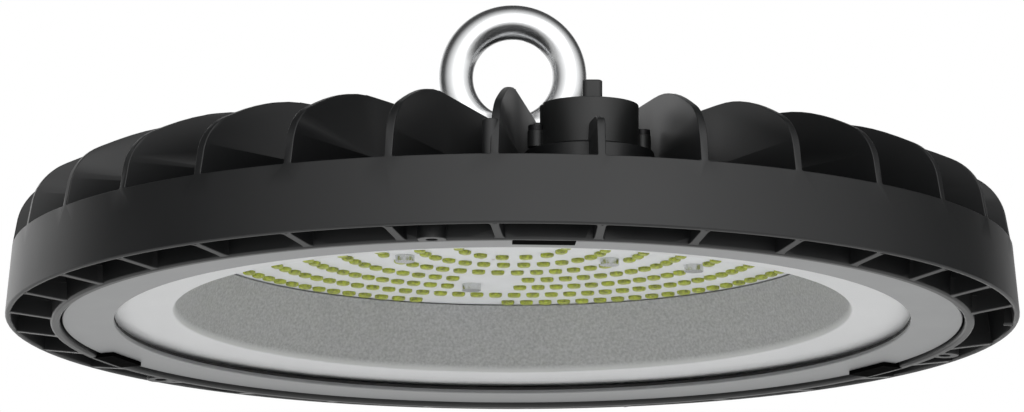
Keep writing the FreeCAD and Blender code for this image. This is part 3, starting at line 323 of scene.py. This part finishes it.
work = bmesh.new()
rings = []
for along, bottom, half in FOOT_STATIONS:
    narrow = half * FOOT_TAPER
    verts = [work.verts.new(Vector((along, FIN_OFFSET + beside, height)) * MM) for beside, height in (
        (-half, bottom), (half, bottom), (narrow, FOOT_TOP), (-narrow, FOOT_TOP))]
    rings.append([work.edges.new(ends) for ends in zip(verts, verts[1:] + verts[:1])])
for one, other in zip(rings, rings[1:]):
    bmesh.ops.bridge_loops(work, edges=one + other)
bmesh.ops.holes_fill(work, edges=rings[0] + rings[-1], sides=4)
bmesh.ops.rotate(work, matrix=Matrix.Rotation(FIN_TURN, 3, "Z"), verts=work.verts)
foot = work.verts[:] + work.edges[:] + work.faces[:]
for index in range(1, FIN_COUNT):
    if index != CUT_SPOKE:
        copied = bmesh.ops.duplicate(work, geom=foot)["geom"]
        bmesh.ops.rotate(work, matrix=Matrix.Rotation(index * FIN_STEP, 3, "Z"),
                         verts=[item for item in copied if isinstance(item, bmesh.types.BMVert)])
bmesh.ops.recalc_face_normals(work, faces=work.faces)
dress(piece_of("fin_feet", work, ADDED_SHARP, ADDED_EDGE), powder_coat)


# Rim post: a round post inside the band, beside the fin that is nearest to the control port. It
# is cast with the band and has its coat.
POST_RADIUS = 2.5 * MM
POST_BOTTOM, POST_TOP = 10.0 * MM, 34.9 * MM
POST_REACH = 150.2 * MM
POST_ANGLE = math.radians(-92.5)
POST_SIDES = 32

work = bmesh.new()
middle = Vector((math.cos(POST_ANGLE) * POST_REACH, math.sin(POST_ANGLE) * POST_REACH,
                 (POST_BOTTOM + POST_TOP) / 2))
bmesh.ops.create_cone(work, cap_ends=True, segments=POST_SIDES, radius1=POST_RADIUS, radius2=POST_RADIUS,
                      depth=POST_TOP - POST_BOTTOM, matrix=Matrix.Translation(middle))
bmesh.ops.recalc_face_normals(work, faces=work.faces)
dress(piece_of("rim_post", work, ADDED_SHARP, ADDED_EDGE), powder_coat)


# Driver lid: a cast cover on the well, in the casting's coat, with rounder edges. Six screws
# hold it down on a rubber gasket.
LID_EDGE = 0.4 * MM
dress(eased("driver_lid", "driver_cover", LID_EDGE, segments=3), powder_coat)


# Seals: the lid's, the eye bolt's, the gland's and the port's, pressed between the parts that
# they seal. Moulded silicone rubber looks dead black, with hardly a shine.
seal_rubber = surface_finish(
    "black_silicone_rubber", 6.0 * MM, {"Base Color": linear("#101010")}, rough=(0.55, 0.7),
    grit=0.8 * MM, depth=0.01 * MM)
for name in ("cover_gasket", "eye_bolt_seal", "gland_seal", "gland_insert", "port_gasket"):
    dress(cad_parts[name], seal_rubber)


# Screws: steel pan heads in the lid and in the driver's board, bright with zinc plate, and
# black passivated ones in the port's ears, which don't catch the eye against the casting.
zinc = surface_finish(
    "bright_zinc_plated_steel", 1.5 * MM, {"Base Color": linear("#b9bbbe"), "Metallic": 1.0},
    rough=(0.22, 0.34), grit=0.5 * MM, depth=0.003 * MM)
for name in ("cover_screws", "driver_screws"):
    dress(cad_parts[name], zinc)

black_zinc = surface_finish(
    "black_passivated_steel", 1.5 * MM, {"Base Color": linear("#1b1b1d"), "Metallic": 0.4},
    rough=(0.45, 0.55))
dress(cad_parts["port_screws"], black_zinc)


# Eye bolt: a drop-forged stainless ring on a collar, screwed into the lid on a rubber seal. The
# ring runs into its collar with a forged blend, and it is a little stouter than in CAD.
EYE_CENTRE = 77.8 * MM
EYE_REACH = 17.5 * MM
EYE_STOUTER = 1.08
NECK_TOP = 66.0 * MM
FORGED_GRAIN = 0.4 * MM
FORGED_BLEND, FORGED_PASSES = 0.6, 12

# Barrel polishing leaves stainless steel bright but not a mirror, so the ring shows broad white
# bands with soft dark edges
stainless = surface_finish(
    "polished_stainless_steel", 4.0 * MM, {"Base Color": linear("#d9dadb"), "Metallic": 1.0},
    rough=(0.22, 0.28), grit=3.0 * MM, depth=0.006 * MM)
ring = dress(eased("ring_eye_bolt", "eye_bolt"), stainless)
for vert in ring.data.vertices:
    if vert.co.z > NECK_TOP:
        outward = Vector((vert.co.x, 0.0, vert.co.z - EYE_CENTRE))
        core = outward.normalized() * EYE_REACH + Vector((0.0, 0.0, EYE_CENTRE))
        vert.co = core + (vert.co - core) * EYE_STOUTER
forged = ring.modifiers.new("forged_skin", "REMESH")
forged.mode = "VOXEL"
forged.voxel_size = FORGED_GRAIN
forged.use_smooth_shade = True
blend = ring.modifiers.new("forged_blend", "SMOOTH")
blend.factor = FORGED_BLEND
blend.iterations = FORGED_PASSES


# Supply gland and control port: the cable gland, its nut, and the socket under the port's cap,
# moulded in nylon and screwed to the casting.
GLAND_EDGE = 0.25 * MM

# Moulded nylon is as black as the coat beside it, a little smoother, with a faint spark grain
nylon = surface_finish(
    "moulded_black_nylon", 12.0 * MM, rough=(0.42, 0.5), colours=("#161717", "#1b1c1c"),
    grit=0.7 * MM, depth=0.008 * MM)
dress(eased("supply_gland", "gland_body", GLAND_EDGE), nylon)
dress(eased("supply_gland_nut", "gland_nut", GLAND_EDGE), nylon)
dress(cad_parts["port_socket"], nylon)


# Port cap: a round nylon cap with a grip bar across it, turned on to the socket. It is a little
# taller than in CAD, and its grip stands along the view, wider and lower. The grip is in mm.
CAP_EDGE = 0.3 * MM
CAP_SHOULDER = 46.0 * MM
CAP_TALLER = 0.9 * MM
GRIP_FOOT = Vector((23.16, -104.46, 47.3))
GRIP_REACH, GRIP_UNDER = 12.0, 0.1
GRIP_TURN = Matrix.Rotation(math.radians(-12.5), 3, "Z")
GRIP_WIDER, GRIP_LOWER = 1.2, 0.71
GRIP_SHIFT = 0.9

cap = dress(eased("port_cover_cap", "port_cap", CAP_EDGE), nylon)
for vert in cap.data.vertices:
    spot = vert.co / MM - GRIP_FOOT
    if spot.z > -GRIP_UNDER and math.hypot(spot.x, spot.y) < GRIP_REACH:
        spot = GRIP_TURN @ spot
        spot = Vector((spot.x * GRIP_WIDER + GRIP_SHIFT, spot.y, spot.z * GRIP_LOWER))
        vert.co = (GRIP_FOOT + spot) * MM
    if vert.co.z > CAP_SHOULDER:
        vert.co.z += CAP_TALLER


# Ring clips: three moulded nylon clips that snap into the seat and hold the trim ring up. Their
# rough, unpolished mould makes them the dullest black of the light.
clip_nylon = surface_finish(
    "dull_black_clip_nylon", 3.0 * MM, {"Base Color": linear("#060606"), "IOR": 1.02},
    rough=(0.6, 0.7))
dress(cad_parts["ring_clips"], clip_nylon)


# Trim ring: pressed aluminium sheet round the glass, held up by the three clips. Its satin
# silver-grey lacquer is even and soft, with no more than a faint grain.
TRIM_EDGE = 0.12 * MM
silver_lacquer = surface_finish(
    "satin_silver_lacquer", 20.0 * MM, rough=(0.42, 0.5), colours=("#7f8081", "#848586"),
    grit=0.9 * MM, depth=0.006 * MM)
dress(eased("silver_trim_ring", "trim_ring", TRIM_EDGE), silver_lacquer)


# Lens seal: a silicone ring round the glass, pressed down by the trim ring. Its lip ends just
# behind the trim ring's inner edge.
LIP_REACH = 122.3 * MM
seal = dress(eased("lens_seal", "lens_gasket"), seal_rubber)
for vert in seal.data.vertices:
    reach = math.hypot(vert.co.x, vert.co.y)
    if reach < LIP_REACH:
        vert.co.x *= LIP_REACH / reach
        vert.co.y *= LIP_REACH / reach


# Glass: a clear toughened disc, ground at its edge, that lies in the lens seal. It looks all but
# absent: what is behind it shows clear, with a trace of sheen. Light passes it on its way in.
GLASS_IOR = 1.5
GLASS_ROUGH = 0.03
SHEEN_SHARE = 0.05

glass = bpy.data.materials.new("clear_toughened_glass")
glass.use_nodes = True
tree = glass.node_tree
tree.nodes.clear()
clear_white = linear("#ffffff")
bent = add_node(tree, "ShaderNodeBsdfRefraction", {"Color": clear_white, "IOR": GLASS_IOR, "Roughness": 0.0})
sheen = add_node(tree, "ShaderNodeBsdfGlossy", {"Color": clear_white, "Roughness": GLASS_ROUGH})
gloss = add_node(tree, "ShaderNodeFresnel", {"IOR": GLASS_IOR})
share = add_node(tree, "ShaderNodeMath", {0: gloss.outputs[0], 1: SHEEN_SHARE}, operation="MULTIPLY")
surface = add_node(tree, "ShaderNodeMixShader", {
    0: share.outputs[0], 1: bent.outputs[0], 2: sheen.outputs[0]})
let_in = add_node(tree, "ShaderNodeBsdfTransparent", {"Color": clear_white})
shadow_ray = add_node(tree, "ShaderNodeLightPath").outputs["Is Shadow Ray"]
either = add_node(tree, "ShaderNodeMixShader", {0: shadow_ray, 1: surface.outputs[0], 2: let_in.outputs[0]})
add_node(tree, "ShaderNodeOutputMaterial", {"Surface": either.outputs[0]})
dress(eased("glass_disc", "glass_lens"), glass)


# Reflector: a spun aluminium ring with a flat rim and a cone up to the board, clamped under the
# glass. The rim has a white coat; the cone is painted greyer, as painted shade inside the cavity, and
# speckled.
REFLECTOR_EDGE = 0.5 * MM
CONE_SHADE_START, CONE_SHADE_FULL = 7.9 * MM, 9.4 * MM
SPECK, SPECK_DEPTH, SPECK_DETAIL = 0.8 * MM, 0.02 * MM, 3.0

reflector_with_cone_shade = surface_finish(
    "white_reflector_with_painted_cone_shade", 15.0 * MM, rough=(0.4, 0.5), grit=SPECK, depth=SPECK_DEPTH)
tree = reflector_with_cone_shade.node_tree
place = tree.nodes["Texture Coordinate"].outputs["Object"]
# Painted shade: above the rim the colour turns to a greyer speckle, which stands in for the shade on the
# cone inside the cavity
height = add_node(tree, "ShaderNodeSeparateXYZ", {"Vector": place}).outputs["Z"]
cone_shade_share = add_node(tree, "ShaderNodeMapRange", {
    "Value": height, "From Min": CONE_SHADE_START, "From Max": CONE_SHADE_FULL}).outputs["Result"]
specks = add_node(tree, "ShaderNodeTexNoise", {
    "Vector": place, "Scale": 1.0 / SPECK, "Detail": SPECK_DETAIL})
speckle = add_node(tree, "ShaderNodeMapRange", {
    "Value": specks.outputs["Fac"], "From Min": LUMP_LOW, "From Max": LUMP_HIGH}).outputs["Result"]
cone_shade_speckle = add_node(tree, "ShaderNodeMix", data_type="RGBA", inputs={
    "Factor": speckle, 6: linear("#a2a3a4"), 7: linear("#c2c3c4")}).outputs[2]
colour = add_node(tree, "ShaderNodeMix", data_type="RGBA", inputs={
    "Factor": cone_shade_share, 6: linear("#dcddde"), 7: cone_shade_speckle}).outputs[2]
tree.links.new(colour, tree.nodes["Principled BSDF"].inputs["Base Color"])
rim_and_cone = eased("white_reflector", "reflector", REFLECTOR_EDGE, segments=3)
dress(rim_and_cone, reflector_with_cone_shade)


# Board: an aluminium-core board on the casting's plate, with its stainless screws. The
# photograph shows its rings of chips the other way round than CAD does, so the board, the
# screws and the chips are mirrored from front to back.
def mirrored(node):
    """A CAD node's faces, merged and mirrored from front to back."""
    work = merged(node)
    bmesh.ops.scale(work, vec=(1.0, -1.0, 1.0), verts=work.verts)
    bmesh.ops.reverse_faces(work, faces=work.faces)
    return work


# A white solder mask has a soft eggshell sheen
white_mask = surface_finish(
    "white_solder_mask", 10.0 * MM, rough=(0.35, 0.45), colours=("#dfe1e3", "#e5e7e9"))
board = dress(piece_of("chip_board", mirrored("led_board"), ADDED_SHARP), white_mask)
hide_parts("led_board")
screws = dress(
    piece_of("chip_board_screws", mirrored("board_screws"), ADDED_SHARP), stainless)
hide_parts("board_screws")


# Chips: small white-light packages soldered to the board, filled with phosphor in silicone, which
# is yellow when unlit and swells a little. Its yellow is painted darker and lighter in random patches, for
# shade and highlight.
CHIP_CORNER = 1.05 * MM
CHIP_RIM = 0.3 * MM
CHIP_SWELL = 0.3 * MM
UPRIGHT_OVER, LEVEL_WITHIN = 0.1 * MM, 0.01 * MM
SIDE_FACE = 0.5

# Painted shade and highlight: the yellow runs between a dark and a light tone in random patches
phosphor_and_shade = surface_finish(
    "yellow_phosphor_with_painted_shade", 1.1 * MM, {"Roughness": 0.35}, colours=("#747b0c", "#b9c61c"))
work = mirrored("led_chips")
upright = [edge for edge in work.edges if abs(edge.verts[0].co.z - edge.verts[1].co.z) > UPRIGHT_OVER]
bmesh.ops.bevel(
    work, geom=upright, offset=CHIP_CORNER, segments=3, profile=0.5, affect="EDGES", material=-1)
low = min(vert.co.z for vert in work.verts)
rim = [edge for edge in work.edges
       if all(vert.co.z < low + LEVEL_WITHIN for vert in edge.verts)
       and any(abs(face.normal.z) < SIDE_FACE for face in edge.link_faces)]
bmesh.ops.bevel(work, geom=rim, offset=CHIP_RIM, segments=2, profile=0.5, affect="EDGES", material=-1)
chips = dress(piece_of("phosphor_chips", work, ADDED_SHARP), phosphor_and_shade)
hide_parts("led_chips")
swell = chips.modifiers.new("swollen_phosphor", "DISPLACE")
swell.strength = CHIP_SWELL
swell.mid_level = 0.0


# Heat pad: a sheet of filled silicone between the board and the casting's plate. It is grey,
# soft and dull.
pad_silicone = surface_finish(
    "grey_heat_pad_silicone", 3.0 * MM, rough=(0.6, 0.75), colours=("#8c8e95", "#9a9ca2"))
dress(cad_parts["thermal_pad"], pad_silicone)


# Driver: the board with its parts, inside the well under the lid, on an insulating sheet. None
# of it shows from outside, so each part has the plain look of its own stuff.
SMOOTHER, ROUGHER = 0.04, 0.06
DRIVER_PARTS = (
    # node, finish, its two colours, roughness, and the width of its lumps in mm
    ("insulation_sheet", "polyester_film", "#d9d6c4", "#e2dfce", 0.3, 5.0),
    ("driver_board", "green_laminate", "#1f5a34", "#27683d", 0.4, 2.0),
    ("transformer_core", "grey_ferrite", "#3a3b3d", "#474849", 0.55, 1.0),
    ("transformer_coil", "yellow_winding_tape", "#c9a227", "#d6b03a", 0.45, 1.5),
    ("bulk_capacitors", "dark_can_sleeve", "#1c1c2c", "#262638", 0.3, 4.0),
    ("line_choke", "enamelled_copper", "#7c3c1c", "#955028", 0.3, 0.8),
    ("terminal_block", "green_polyamide", "#2c7a42", "#34884c", 0.45, 2.0),
    ("link_bush", "white_nylon", "#dddcd6", "#e6e5e0", 0.45, 2.0),
    ("link_pins", "tinned_brass", "#b89a5a", "#c6aa6c", 0.3, 1.0),
)
for node, name, one, other, roughness, lump in DRIVER_PARTS:
    part_finish = surface_finish(
        name, lump * MM, rough=(roughness - SMOOTHER, roughness + ROUGHER), colours=(one, other))
    dress(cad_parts[node], part_finish)
